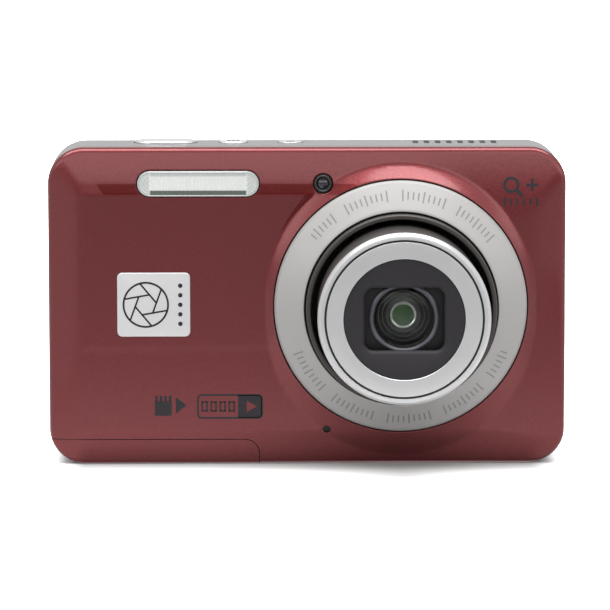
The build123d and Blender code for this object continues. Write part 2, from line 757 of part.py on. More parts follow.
def build():
    walls = shell()
    free = door_space(walls)
    nodes = {
        "front_cover": front_cover(free),
        "rear_cover": rear_cover(free),
        "cover_screws": cover_screws(),
        "chassis": chassis(),
        "badge_plate": prism(Pos(BADGE_X, BADGE_Z) * RectangleRounded(BADGE_W, BADGE_H, 0.8), -0.25, 0),
        "lens_ring": lens_ring(),
        "fixed_barrel": fixed_barrel(),
        "cam_barrel": cam_barrel(),
        "idler_gear": idler_gear(),
        "motor_pinion": motor_pinion(),
        "zoom_motor": zoom_motor(),
        "barrel_1": barrel_1(),
        "barrel_2": barrel_2(),
        "front_cap": front_cap(),
        "front_mask": front_mask(),
        "barrier_blade_upper": barrier_blade(1),
        "barrier_blade_lower": barrier_blade(-1),
        "lens_group_1": lens_group_1(),
        "shutter_unit": shutter_unit(),
        "lens_group_2": lens_group_2(),
        "lens_3_cell": lens_3_cell(),
        "lens_group_3": element(4.85, 8.9, 9.3, 9.9, 10.5),
        "focus_motor": focus_motor(),
        "focus_screw": focus_screw(),
        "image_sensor": image_sensor(),
        "battery_door": battery_door(walls),
        "door_leaf": door_leaf(),
        "door_pin": door_pin(),
        "tripod_socket": tripod_socket(),
        "battery": battery(),
        "battery_holder": battery_holder(),
        "battery_contacts": battery_contacts(),
        "battery_latch": battery_latch(),
        "memory_card": memory_card(),
        "card_slot": card_slot(),
        "flash_window": flash_window(),
        "flash_reflector": flash_reflector(),
        "flash_tube": flash_tube(),
        "flash_capacitor": flash_capacitor(),
        "focus_lamp": rod_y(LAMP_X, LAMP_Z, LAMP_R, -0.2, 4.0),
        "nav_ring": nav_ring(),
        "nav_web": nav_web(),
        "ok_button": ok_button(),
        "zoom_rocker": zoom_rocker(),
        "keypad_board": keypad_board(),
        "tact_switches": tact_switches(),
        "port_cover": port_cover(),
        "usb_port": usb_port(),
        "strap_lug": strap_lug(),
        "main_board": box((-41.6, -9.5), (12.9, 13.7), (6.0, 44.8)),
        "board_chips": board_chips(),
        "lcd_window": lcd_window(),
        "lcd_panel": box((-13.5, 41.5), (14.2, 16.6), (6.5, 50.5)),
    }
    for name in TOP_BUTTONS:
        nodes[name] = top_button(name)
    for name in KEYS:
        nodes[name] = key(name)
    return nodes


def main():
    os.makedirs("parts", exist_ok=True)
    for name, shape in build().items():
        solids = shape if isinstance(shape, list) else [shape]
        export_step(Compound(children=[s for piece in solids for s in piece.solids()]), f"parts/{name}.step")


main()
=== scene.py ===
import json
import math

import bmesh
import bpy
import numpy as np
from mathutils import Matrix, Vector
from mathutils.geometry import delaunay_2d_cdt


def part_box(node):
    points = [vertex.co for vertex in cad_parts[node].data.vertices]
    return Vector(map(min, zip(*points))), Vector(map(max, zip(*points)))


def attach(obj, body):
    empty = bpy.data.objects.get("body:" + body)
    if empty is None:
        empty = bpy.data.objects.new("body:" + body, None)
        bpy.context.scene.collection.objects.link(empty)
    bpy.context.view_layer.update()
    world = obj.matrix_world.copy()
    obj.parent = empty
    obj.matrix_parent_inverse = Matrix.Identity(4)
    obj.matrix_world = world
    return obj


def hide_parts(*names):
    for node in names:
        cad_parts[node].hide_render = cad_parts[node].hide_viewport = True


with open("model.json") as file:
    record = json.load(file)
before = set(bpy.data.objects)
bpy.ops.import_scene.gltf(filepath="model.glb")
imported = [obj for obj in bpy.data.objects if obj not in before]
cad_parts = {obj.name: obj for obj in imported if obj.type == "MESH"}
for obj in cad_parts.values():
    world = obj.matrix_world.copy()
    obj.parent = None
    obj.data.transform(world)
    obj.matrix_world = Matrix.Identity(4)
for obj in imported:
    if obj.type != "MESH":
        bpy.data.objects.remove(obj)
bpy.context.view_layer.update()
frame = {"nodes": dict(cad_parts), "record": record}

SCENE = bpy.context.scene
MM = 0.001  # lengths below are in millimetres, Blender's are in metres


def node_box(node):
    """The two corners of a CAD node's box in millimetres."""
    low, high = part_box(node)
    return low / MM, high / MM


def measures(node):
    """A CAD node's middle x and z, width, height, and the y of its front and back."""
    low, high = node_box(node)
    return (low.x + high.x) / 2, (low.z + high.z) / 2, high.x - low.x, high.z - low.z, low.y, high.y


# ---- places taken from the frame ----
SIDE, REAR, TOP = node_box("rear_cover")[1]
LENS_X, LENS_Z, RING_WIDTH, *_ = measures("lens_ring")
RING_R = RING_WIDTH / 2
LENS_FRONT = node_box("front_cap")[0].y
FLASH_X, FLASH_Z, FLASH_W, FLASH_H, FLASH_FRONT, FLASH_BACK = measures("flash_window")
LAMP_X, LAMP_Z, LAMP_WIDTH, _, LAMP_FRONT, LAMP_BACK = measures("focus_lamp")
LAMP_R = LAMP_WIDTH / 2
BADGE_X, BADGE_Z, BADGE_W, BADGE_H, BADGE_FRONT, BADGE_BACK = measures("badge_plate")
DOOR_RIGHT = node_box("battery_door")[1].x
PAD_X, PAD_Z, PAD_WIDTH, _, _, KEY_TOP = measures("nav_ring")
PAD_R = PAD_WIDTH / 2

# ---- front cover's form ----
PARTING = 4.9  # rear edge of the front cover
CORNER = 6.4  # radius of the outline's corners
RIM_DROP = 1.5  # how far the bevels fall back at the rim
RIM_FILLET = 0.9
RIM_INSET = 1.9  # width of the rows of points along the rim
SKIN = 1.15  # thickness of the visible shell
SEAM = 0.13
LEFT_CREASE = -40.6
BASE_CREASE = 6.4
BASE_CREASE_FALL = 1.4  # how much lower it ends at the right
BASE_FALL_START = 31.0
RIGHT_CREASE = 39.5
RIGHT_DROP = 0.8
RIGHT_FADE = (20.0, 38.0)  # the right bevel fades in over these heights
BAND_LOW = 48.2  # the shallow step between the face and the top bevel
BAND_HIGH = 50.3
BAND_END = -35.9
BAND_SLOPE = 0.123
BEVEL_START = 0.258  # depth at the foot of the top bevel
BEVEL_SLOPE = 0.16
BEVEL_CURVE = 0.0065
ROUND_START = 43.0  # right of the lens the face rounds off upward from here
ROUND_POWER = 1.7
ROUND_FADE = (LENS_X - 6, LENS_X + 14)  # where the band gives way to that rounding
DOOR_TOP = 4.5
DOOR_CORNER = 2.6
COLLAR_RISE = 1.2
COLLAR_TOP_R = 22.4
COLLAR_FOOT_R = 23.8
COLLAR_FLARE_UP = 1.3  # how much wider the foot is above and below the lens
COLLAR_FLARE_DOWN = 3.0
WEDGE_R = 24.75  # the wedge of painted shade, a deeper red, starts here round the collar
WEDGE_END = math.radians(150)
WEDGE_TAPER = 3.2  # its width per radian away from its end
MIC_X, MIC_Z, MIC_R = 3.5, 6.4, 0.65
GRID = 0.38  # spacing of the points across the face

# ---- lens, as (radius, y) where there are two numbers ----
RING_BORE = 17.05
CONE_OUTER = (RING_R - 0.35, -1.7)
CONE_INNER = (RING_BORE + 0.5, -4.35)
CAP_OPENING = 10.6


# ---- meshes ----
def piece(name, points, faces, body, slot, replaces=()):
    """A new piece from points in millimetres, riding on a CAD body."""
    mesh = bpy.data.meshes.new(name)
    mesh.from_pydata((np.asarray(points, float) * MM).tolist(), [], faces)
    mesh.validate()
    mesh.shade_smooth()
    mesh.set_sharp_from_angle(angle=math.radians(35))
    obj = bpy.data.objects.new(name, mesh)
    SCENE.collection.objects.link(obj)
    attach(obj, body)
    if replaces:
        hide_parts(*replaces)
    obj.data.materials.append(finish(slot))
    return obj


def skin(rings, close_rings=True):
    """Points and quads between closed rings that all have the same number of points."""
    count = len(rings[0])
    points = [point for ring in rings for point in ring]
    faces = []
    last = len(rings) if close_rings else len(rings) - 1
    for r in range(last):
        here, there = r * count, (r + 1) % len(rings) * count
        for i in range(count):
            after = (i + 1) % count
            faces.append((here + i, here + after, there + after, there + i))
    return points, faces


def soften(outline, radius, steps=4):
    """A closed (a, b) outline with each corner rounded, less where its sides are short."""
    soft = []
    corners = [Vector(corner) for corner in outline]
    for i, corner in enumerate(corners):
        before = corners[i - 1] - corner
        after = corners[(i + 1) % len(corners)] - corner
        half = before.angle(after) / 2
        reach = min(radius / max(math.tan(half), 1e-3), 0.45 * before.length, 0.45 * after.length)
        start, end = corner + before.normalized() * reach, corner + after.normalized() * reach
        for step in range(steps + 1):
            u = step / steps
            soft.append(start * (1 - u) ** 2 + corner * 2 * u * (1 - u) + end * u ** 2)
    return [tuple(point) for point in soft]


def circle_ring(radius, y, x=LENS_X, z=LENS_Z, count=192):
    """Points round a circle that faces the front."""
    angles = [2 * math.pi * i / count for i in range(count)]
    return [(x + radius * math.cos(a), y, z + radius * math.sin(a)) for a in angles]


def rectangle_ring(width, height, corner, y):
    """A rounded rectangle's points about the lens axis, in the directions that circle_ring gives."""
    ring = []
    for x, _, z in circle_ring(1.0, y, x=0.0, z=0.0):
        near, far = 0.0, width + height
        for _halving in range(40):
            middle = (near + far) / 2
            inside = box_distance(middle * x, middle * z, width, height, corner) < 0
            near, far = (middle, far) if inside else (near, middle)
        ring.append((LENS_X + near * x, y, LENS_Z + near * z))
    return ring


def turned(name, profile, body, slot, replaces=(), x=LENS_X, z=LENS_Z, radius=0.12, count=192):
    """A closed (radius, y) profile turned about an axis along Y."""
    rings = [circle_ring(r, y, x, z, count) for r, y in soften(profile, radius)]
    points, faces = skin(rings)
    return piece(name, points, faces, body, slot, replaces)


def dome(name, profile, body, slot, replaces=(), x=LENS_X, z=LENS_Z, count=96):
    """An open (radius, y) profile that starts and ends on the axis, turned about it."""
    rings = [circle_ring(r, y, x, z, count) for r, y in profile[1:-1]]
    points, faces = skin(rings, close_rings=False)
    first, last = len(points), len(points) + 1
    points += [(x, profile[0][1], z), (x, profile[-1][1], z)]
    base = (len(rings) - 1) * count
    for i in range(count):
        after = (i + 1) % count
        faces.append((first, after, i))
        faces.append((last, base + i, base + after))
    return piece(name, points, faces, body, slot, replaces)


def arc_profile(radius, apex, edge, steps):
    """(radius, y) points from the axis to the edge of a shallow dome."""
    return [(radius * i / steps, apex + (edge - apex) * (i / steps) ** 2) for i in range(steps + 1)]


def stack(rings):
    """Points and faces of a solid through a stack of rings, closed flat at both ends."""
    points, faces = skin(rings, close_rings=False)
    count = len(rings[0])
    return points, faces + [tuple(range(count)), tuple(range(len(points) - count, len(points)))]


# ---- flat outlines ----
def box_distance(x, z, width, height, corner):
    """Signed distance to a rounded rectangle centred on the origin."""
    dx = np.abs(x) - width / 2 + corner
    dz = np.abs(z) - height / 2 + corner
    outside = np.hypot(np.maximum(dx, 0), np.maximum(dz, 0))
    return outside + np.minimum(np.maximum(dx, dz), 0) - corner


def circle(x, z, radius):
    """A circle, given as a rounded rectangle's middle, sides and corner radius."""
    return x, z, 2 * radius, 2 * radius, radius


def pill(x, z, width, height):
    return x, z, width, height, height / 2


def plate_shape(x0, z0, width, height, corner):
    """Signed distance to a rounded rectangle, as a function of x and z."""
    return lambda x, z: box_distance(x - x0, z - z0, width, height, corner)


def rounded_loop(x0, z0, width, height, corner, grow=0.0, step=0.3):
    """Points round a rounded rectangle, slot or circle, grown outward.

    Their number doesn't depend on grow."""
    arc_steps = max(4, round(corner * math.pi / 2 / step))
    reach = corner + grow
    across, up = width - 2 * corner, height - 2 * corner
    turns = (1, 1, -1, 0, across), (-1, 1, 0, -1, up), (-1, -1, 1, 0, across), (1, -1, 0, 1, up)
    loop = []
    for quarter, (sx, sz, dx, dz, along) in enumerate(turns):
        cx, cz = x0 + sx * (width / 2 - corner), z0 + sz * (height / 2 - corner)
        for i in range(arc_steps + 1):
            a = math.pi / 2 * (quarter + i / arc_steps)
            loop.append((cx + reach * math.cos(a), cz + reach * math.sin(a)))
        if along < 1e-6:
            loop.pop()
            continue
        parts = max(1, round(along / step))
        x, z = loop[-1]
        loop += [(x + dx * along * i / parts, z + dz * along * i / parts) for i in range(1, parts)]
    return loop


def sheet(loops, inside, step):
    """A flat triangulation of a region: its boundary loops and a grid between them.

    Returns the points, the faces and, for each boundary point, its index."""
    points = [point for loop in loops for point in loop]
    edges = []
    for loop in loops:
        start = len(edges)
        edges += [(start + i, start + (i + 1) % len(loop)) for i in range(len(loop))]
    boundary = len(points)
    low, high = np.min(points, 0), np.max(points, 0)
    gx, gz = np.meshgrid(*(np.arange(low[i], high[i], step) for i in (0, 1)))
    gx[1::2] += step / 2
    clearance = 0.6 * step
    keep = inside(gx, gz) < -clearance
    points += np.column_stack((gx[keep], gz[keep])).tolist()
    tolerance = 1e-6
    result = delaunay_2d_cdt([Vector(p) for p in points], edges, [], 0, tolerance)
    flat = np.array([tuple(p) for p in result[0]])
    where = {old: new for new, olds in enumerate(result[3]) for old in olds}
    triangles = np.array(result[2])
    middles = flat[triangles].mean(1)
    triangles = triangles[inside(middles[:, 0], middles[:, 1]) < 0]
    return flat, triangles.tolist(), [where[i] for i in range(boundary)]


def normals_of(points, faces):
    """The normal at each point of a skin."""
    mesh = bpy.data.meshes.new("skin")
    mesh.from_pydata([tuple(p) for p in points], [], faces)
    normals = np.array([tuple(vertex.normal) for vertex in mesh.vertices])
    bpy.data.meshes.remove(mesh)
    return normals


def close_shell(points, faces, offsets):
    """Adds an inner skin, each point moved by its offset, and the walls along the open edges."""
    count = len(points)
    edges = {(face[i - 1], face[i]) for face in faces for i in range(len(face))}
    walls = [(b, a, a + count, b + count) for a, b in edges if (b, a) not in edges]
    inner = [tuple(i + count for i in reversed(face)) for face in faces]
    return points + [tuple(p) for p in np.add(points, offsets)], faces + inner + sorted(walls)


def turn_outward(obj):
    """Every closed shell's faces look outward."""
    solid = bmesh.new()
    solid.from_mesh(obj.data)
    bmesh.ops.recalc_face_normals(solid, faces=solid.faces)
    solid.to_mesh(obj.data)
    solid.free()


# ---- thin plates and marks ----
def bar(start, end, width):
    """The outline of a straight stroke."""
    a, b = Vector(start), Vector(end)
    side = (b - a).normalized().orthogonal() * width / 2
    return [tuple(p) for p in (a + side, b + side, b - side, a - side)]


def block(x, z, width, height):
    """The outline of an upright rectangle."""
    signs = (-1, -1), (1, -1), (1, 1), (-1, 1)
    return [(x + sx * width / 2, z + sz * height / 2) for sx, sz in signs]


def frame_line(shape, stroke):
    """The outer and inner outlines of a rounded frame."""
    return rounded_loop(*shape), rounded_loop(*shape, grow=-stroke)


def marks(name, outlines, place, body, slot):
    """Thin plates on a surface. An outline is one loop, or an outer and an inner one.

    place turns (a, b, top) into a point under the surface or, at the top, just above it."""
    points, faces = [], []
    for outline in outlines:
        start = len(points)
        if isinstance(outline, tuple):
            outer, inner = outline
            sections = (outer, 0), (outer, 1), (inner, 1), (inner, 0)
            rings = [[place(*p, top) for p in loop] for loop, top in sections]
            more, quads = skin(rings)
        else:
            rings = [[place(*p, top) for p in outline] for top in (0, 1)]
            more, quads = stack(rings)
        points += more
        faces += [tuple(start + i for i in face) for face in quads]
    turn_outward(piece(name, points, faces, body, slot))


def on_front(lift):
    """Places marks on the front face, lift millimetres proud of it."""
    def place(x, z, top):
        depth = float(face_depth(np.array(x), np.array(z)))
        return x, depth - lift if top else depth + 0.05, z
    return place


def on_rear(height):
    """Places marks on a face that looks back; height gives its y at each point."""
    return lambda x, z, top: (x, height(x, z) + (0.035 if top else -0.05), z)


def on_top(height):
    """Places marks on a flat face that looks up."""
    return lambda x, y, top: (x, y, height + (0.03 if top else -0.05))


# ---- materials ----
FINISHES = {}


def finish(slot):
    if slot not in FINISHES:
        FINISHES[slot] = MAKERS[slot](slot)
    return FINISHES[slot]


class Graph:
    """A node tree and short calls that add nodes to it."""

    def __init__(self, tree):
        self.tree = tree

    def feed(self, socket, value):
        if isinstance(value, bpy.types.NodeSocket):
            self.tree.links.new(value, socket)
        else:
            socket.default_value = value

    def node(self, kind, **inputs):
        made = self.tree.nodes.new("ShaderNode" + kind)
        for key, value in inputs.items():
            self.feed(made.inputs[key.replace("_", " ")], value)
        return made

    def operate(self, kind, operation, values):
        made = self.node(kind)
        made.operation = operation
        for socket, value in zip(made.inputs, values):
            self.feed(socket, value)
        return made.outputs[0]

    def maths(self, operation, *values):
        return self.operate("Math", operation, values)

    def vectors(self, operation, *values):
        return self.operate("VectorMath", operation, values)

    def product(self, first, *others):
        for other in others:
            first = self.maths("MULTIPLY", first, other)
        return first

    def less(self, value, amount):
        return self.maths("SUBTRACT", value, amount)

    def hypotenuse(self, a, b):
        return self.maths("SQRT", self.maths("ADD", self.product(a, a), self.product(b, b)))

    def step(self, value, low, high, start=0.0, end=1.0):
        """start below low, end above high, smooth between."""
        ends = {"From_Min": low, "From_Max": high, "To_Min": start, "To_Max": end}
        made = self.node("MapRange", Value=value, **ends)
        made.interpolation_type = "SMOOTHSTEP"
        return made.outputs[0]

    def spread(self, factor, low, high):
        """A number that goes from low to high."""
        return self.node("MapRange", Value=factor, To_Min=low, To_Max=high).outputs[0]

    def span(self, value, low, high, soft):
        """1 between low and high, 0 outside, with soft edges."""
        past_high = self.step(value, high - soft, high + soft)
        return self.product(self.step(value, low - soft, low + soft), self.less(1.0, past_high))

    def between(self, factor, a, b):
        """A colour that goes from a to b."""
        made = self.node("Mix")
        made.data_type = "RGBA"
        self.feed(made.inputs[0], factor)
        for socket, colour in ((6, a), (7, b)):
            self.feed(made.inputs[socket], (*colour, 1.0) if isinstance(colour, tuple) else colour)
        return made.outputs[2]


class Paint(Graph):
    """A Principled material and short calls for its procedural textures."""

    def __init__(self, name, colour, roughness=0.4, metallic=0.0, **sockets):
        self.material = bpy.data.materials.new(name)
        self.material.use_nodes = True
        super().__init__(self.material.node_tree)
        self.shader = self.tree.nodes["Principled BSDF"]
        fixed = {"Base_Color": (*colour, 1.0), "Roughness": roughness, "Metallic": metallic, **sockets}
        for socket, value in fixed.items():
            self.shader.inputs[socket.replace("_", " ")].default_value = value
        self.place = self.node("TexCoord").outputs["Object"]

    def noise(self, size, detail=3.0):
        """Noise from 0 to 1 whose features are about size millimetres."""
        made = self.node("TexNoise", Vector=self.place, Scale=1 / (size * MM), Detail=detail)
        return made.outputs["Fac"]

    def axis(self, index):
        """The object's x, y or z in millimetres."""
        return self.product(self.node("SeparateXYZ", Vector=self.place).outputs[index], 1 / MM)

    def from_lens(self):
        """x and z measured from the lens axis."""
        return self.less(self.axis(0), LENS_X), self.less(self.axis(2), LENS_Z)

    def colour(self, value):
        self.feed(self.shader.inputs["Base Color"], value)

    def roughness(self, factor, low, high):
        self.feed(self.shader.inputs["Roughness"], self.spread(factor, low, high))

    def bump(self, height, depth):
        """Raises the surface by height, up to depth millimetres."""
        made = self.node("Bump", Height=height, Distance=depth * MM)
        self.feed(self.shader.inputs["Normal"], made.outputs[0])

    def sparkle(self, size, tilt):
        """Tilts each flake of about size millimetres a little its own way."""
        flakes = self.node("TexVoronoi", Vector=self.place, Scale=1 / (size * MM)).outputs["Color"]
        centred = self.vectors("MULTIPLY_ADD", flakes, (tilt * 2,) * 3, (-tilt,) * 3)
        normal = self.node("NewGeometry").outputs["Normal"]
        tilted = self.vectors("NORMALIZE", self.vectors("ADD", normal, centred))
        self.feed(self.shader.inputs["Normal"], tilted)


RED = (0.112, 0.017, 0.019)
# painted shade: a deeper red for the step under the flash and the wedge beside the collar
RED_PAINTED_SHADE = (0.072, 0.0008, 0.001)
GREY = (0.160, 0.160, 0.164)


def shades(colour, share):
    """A colour made darker and lighter by a share of itself."""
    return [tuple(min(1.0, c * (1 + side * share)) for c in colour) for side in (-1, 1)]


def red_paint(name):
    """Clear-coated metallic paint with fine flakes, and its red with a faint mottle."""
    paint = Paint(name, RED, roughness=0.36, metallic=0.85, Coat_Weight=0.4, Coat_Roughness=0.12)
    paint.sparkle(size=0.16, tilt=0.05)
    return paint, paint.between(paint.noise(0.35, 2.0), *shades(RED, 0.14))


def band_shade_mask(paint):
    """1 on the step under the flash, where the deeper red of painted shade goes; its left tip is cut off
    slantwise.
    """
    x, z = paint.axis(0), paint.axis(2)
    lean = 0.67
    right_end = LENS_X - 8
    slant = paint.maths("ADD", x, paint.product(paint.less(z, BAND_LOW), lean))
    past_tip = paint.step(slant, BAND_END, BAND_END + 0.25)
    short_of_end = paint.less(1.0, paint.step(x, right_end, right_end + 0.5))
    return paint.product(paint.span(z, BAND_LOW + 0.15, BAND_HIGH - 0.1, 0.08), past_tip, short_of_end)


def wedge_shade_mask(paint):
    """1 on the wedge of painted shade that runs down from the step beside the collar and tapers away."""
    edge = 0.05
    wedge_low = 40.0
    from_x, from_z = paint.from_lens()
    radius = paint.hypotenuse(from_x, from_z)
    width = paint.product(paint.less(WEDGE_END, paint.maths("ARCTAN2", from_z, from_x)), WEDGE_TAPER)
    outside = paint.step(paint.less(radius, WEDGE_R), -edge, edge)
    within = paint.step(paint.less(paint.maths("ADD", width, WEDGE_R), radius), -edge, edge)
    left_of_lens = paint.maths("LESS_THAN", from_x, -15.0)
    heights = paint.span(paint.axis(2), wedge_low, BAND_LOW + 0.2, edge)
    return paint.product(outside, within, heights, left_of_lens)


def red_metallic(name):
    """The front's paint; the step under the flash and the wedge beside the collar get a deeper red, painted
    shade for the darker reflection of these step faces.
    """
    paint, red = red_paint(name)
    painted_shade = paint.maths("MAXIMUM", band_shade_mask(paint), wedge_shade_mask(paint))
    face_end = 0.6  # the shell's inner side lies behind this y
    facing = paint.maths("LESS_THAN", paint.axis(1), face_end)
    paint.colour(paint.between(paint.product(painted_shade, facing), red, RED_PAINTED_SHADE))
    return paint.material


def door_paint(name):
    """The battery door: red where it continues the front cover, grey behind the parting line."""
    paint, red = red_paint(name)
    behind = paint.step(paint.axis(1), PARTING - 0.02, PARTING + 0.02)
    paint.colour(paint.between(behind, red, GREY))
    paint.roughness(behind, 0.36, 0.46)
    paint.feed(paint.shader.inputs["Metallic"], paint.spread(behind, 0.85, 0.25))
    paint.feed(paint.shader.inputs["Coat Weight"], paint.spread(behind, 0.4, 0.0))
    return paint.material


def barrel_dark(name):
    """Dark satin barrels; the part of the inner one that faces the lens opening is painted dead black,
    painted shade for the deep shadow inside the lens.
    """
    paint = Paint(name, (0.040, 0.036, 0.034), roughness=0.40, metallic=0.3, Specular_IOR_Level=0.3)
    radius = paint.hypotenuse(*paint.from_lens())
    fine = paint.noise(0.12)
    shell = paint.between(fine, (0.036, 0.032, 0.030), (0.046, 0.041, 0.039))
    outside = paint.step(radius, CAP_OPENING, CAP_OPENING + 0.2)
    # painted shade: dead black inside the cap's opening
    paint.colour(paint.between(outside, (0.004, 0.004, 0.004), shell))
    paint.roughness(fine, 0.34, 0.46)
    paint.bump(fine, 0.003)
    return paint.material


def flash_diffuser(name):
    """White ribbed plastic with painted light and shade: a lighter middle, darker strips above and below the
    ribs and greyer rounded ends stand for the reflector and tube seen through it.
    """
    paint = Paint(name, (0.66, 0.67, 0.66), roughness=0.30)
    along = paint.maths("ABSOLUTE", paint.less(paint.axis(0), FLASH_X))
    up = paint.less(paint.axis(2), FLASH_Z)
    fine = paint.noise(0.3, 2.0)
    # painted light and shade: a lighter middle and greyer ends for the reflector and tube behind
    middle = paint.between(fine, (0.40, 0.41, 0.40), (0.50, 0.51, 0.50))
    ends = paint.between(fine, (0.27, 0.29, 0.28), (0.40, 0.42, 0.41))
    body = paint.between(paint.step(along, 8.5, 8.8), middle, ends)
    between_ends = paint.less(1.0, paint.step(along, 8.3, 8.7))
    # painted shade: strips darker than the middle, across the ribs, for what lies behind the window
    for low, high, grey in ((1.35, 1.95, (0.30, 0.32, 0.31)), (-1.95, -1.15, (0.055, 0.07, 0.06))):
        painted_shade_strip = paint.product(paint.span(up, low, high, 0.12), between_ends)
        body = paint.between(painted_shade_strip, body, grey)
    paint.colour(body)
    paint.roughness(fine, 0.22, 0.38)
    return paint.material


def screen_black(name):
    """A glossy pane; the display behind it shows a little lighter inside a black border."""
    paint = Paint(name, (0.005, 0.005, 0.006), roughness=0.05, Coat_Weight=0.5)
    low, high = node_box("lcd_window")
    border, lower_border, edge = 2.6, 3.4, 0.04
    across = paint.span(paint.axis(0), low.x + border, high.x - border, edge)
    up = paint.span(paint.axis(2), low.z + lower_border, high.z - border, edge)
    panel = paint.between(paint.noise(0.25, 1.0), (0.016, 0.018, 0.024), (0.020, 0.023, 0.030))
    paint.colour(paint.between(paint.product(across, up), (0.004, 0.004, 0.005), panel))
    paint.roughness(paint.noise(3.0, 2.0), 0.035, 0.06)
    return paint.material


def satin(colour, roughness, metallic, grain=0.12, depth=0.003, **sockets):
    """A fine-grained satin surface."""
    def make(name):
        paint = Paint(name, colour, roughness, metallic, **sockets)
        fine = paint.noise(grain)
        broad = paint.noise(grain * 60, 2.0)
        paint.colour(paint.between(broad, *shades(colour, 0.05)))
        paint.roughness(fine, roughness * 0.85, min(1.0, roughness * 1.15))
        paint.bump(fine, depth)
        return paint.material
    return make


def gloss(colour, roughness):
    """A smooth moulded or glass-like surface with the faintest unevenness."""
    def make(name):
        paint = Paint(name, colour, roughness)
        paint.colour(paint.between(paint.noise(4.0, 1.0), *shades(colour, 0.07)))
        paint.roughness(paint.noise(0.4, 2.0), roughness * 0.8, roughness * 1.25)
        return paint.material
    return make


def lens_glass(name):
    """Faintly green clear glass."""
    paint = Paint(name, (0.93, 0.96, 0.92), roughness=0.01, IOR=1.15, Transmission_Weight=1.0)
    paint.roughness(paint.noise(0.8, 2.0), 0.008, 0.014)
    return paint.material


MAKERS = {
    "red_metallic": red_metallic,
    "grey_satin": satin(GREY, 0.46, 0.25, Specular_IOR_Level=0.3),
    "silver_ring": satin((0.25, 0.246, 0.240), 0.50, 0.35),
    "bright_trim": satin((0.45, 0.45, 0.455), 0.38, 1.0, grain=0.08, depth=0.001),
    "barrel_dark": barrel_dark,
    "mask_dark": satin((0.013, 0.0115, 0.014), 0.50, 0.0, Specular_IOR_Level=0.2),
    "blade_black": satin((0.008, 0.008, 0.009), 0.45, 0.3),
    "lens_glass": lens_glass,
    "flash_diffuser": flash_diffuser,
    "flash_mirror": satin((0.80, 0.81, 0.80), 0.15, 1.0),
    "tube_glass": gloss((0.75, 0.76, 0.72), 0.08),
    "lamp_lens": gloss((0.012, 0.012, 0.016), 0.08),
    "badge_silver": satin((0.42, 0.42, 0.425), 0.36, 0.4),
    "screen_black": screen_black,
    "screen_panel": gloss((0.02, 0.022, 0.028), 0.12),
    "button_silver": satin((0.66, 0.66, 0.67), 0.24, 1.0, grain=0.06, depth=0.001),
    "button_chrome": satin((0.78, 0.78, 0.79), 0.12, 1.0, grain=0.06, depth=0.0005),
    "control_grey": satin((0.13, 0.13, 0.135), 0.40, 0.2),
    "rubber_grey": satin((0.16, 0.16, 0.165), 0.70, 0.0, grain=0.2, depth=0.01),
    "steel": satin((0.52, 0.52, 0.51), 0.28, 1.0),
    "screw_steel": satin((0.30, 0.30, 0.31), 0.30, 1.0),
    "black_plastic": satin((0.022, 0.022, 0.024), 0.50, 0.0),
    "gear_white": satin((0.70, 0.70, 0.66), 0.45, 0.0),
    "motor_steel": satin((0.50, 0.50, 0.50), 0.25, 1.0),
    "board_green": satin((0.015, 0.10, 0.045), 0.35, 0.0),
    "chip_black": satin((0.018, 0.018, 0.020), 0.45, 0.0),
    "sensor_glass": gloss((0.012, 0.046, 0.010), 0.22),
    "battery_wrap": satin((0.05, 0.05, 0.055), 0.40, 0.0),
    "contact_gold": satin((0.75, 0.52, 0.22), 0.22, 1.0),
    "latch_orange": satin((0.65, 0.18, 0.02), 0.45, 0.0),
    "card_blue": satin((0.02, 0.05, 0.16), 0.40, 0.0),
    "capacitor_sleeve": satin((0.03, 0.03, 0.04), 0.30, 0.0),
}
NODE_SLOTS = {part["node"]: part["material_slot"] for part in frame["record"]["subparts"]}


def dress_nodes():
    """Gives each CAD node the finish that the record names for it; the battery door gets the two-tone door
    paint instead.
    """
    for name, obj in frame["nodes"].items():
        obj.data.materials.clear()
        two_tone = name == "battery_door"
        obj.data.materials.append(door_paint("door_paint") if two_tone else finish(NODE_SLOTS[name]))


# ---- front cover ----
def soft_max(a, b, width):
    """The greater of the two, blended where they cross."""
    share = np.clip(0.5 + 0.5 * (a - b) / width, 0, 1)
    return b + (a - b) * share + width * share * (1 - share)


def ease(value, low, high):
    t = np.clip((value - low) / (high - low), 0, 1)
    return t * t * (3 - 2 * t)


def collar_foot(x, z):
    """Radius where the collar round the lens meets the face; widest below."""
    up = np.sin(np.arctan2(z - LENS_Z, x - LENS_X))
    below = np.maximum(0, -up) ** 1.2
    return COLLAR_FOOT_R + COLLAR_FLARE_UP * np.maximum(0, up) + COLLAR_FLARE_DOWN * below


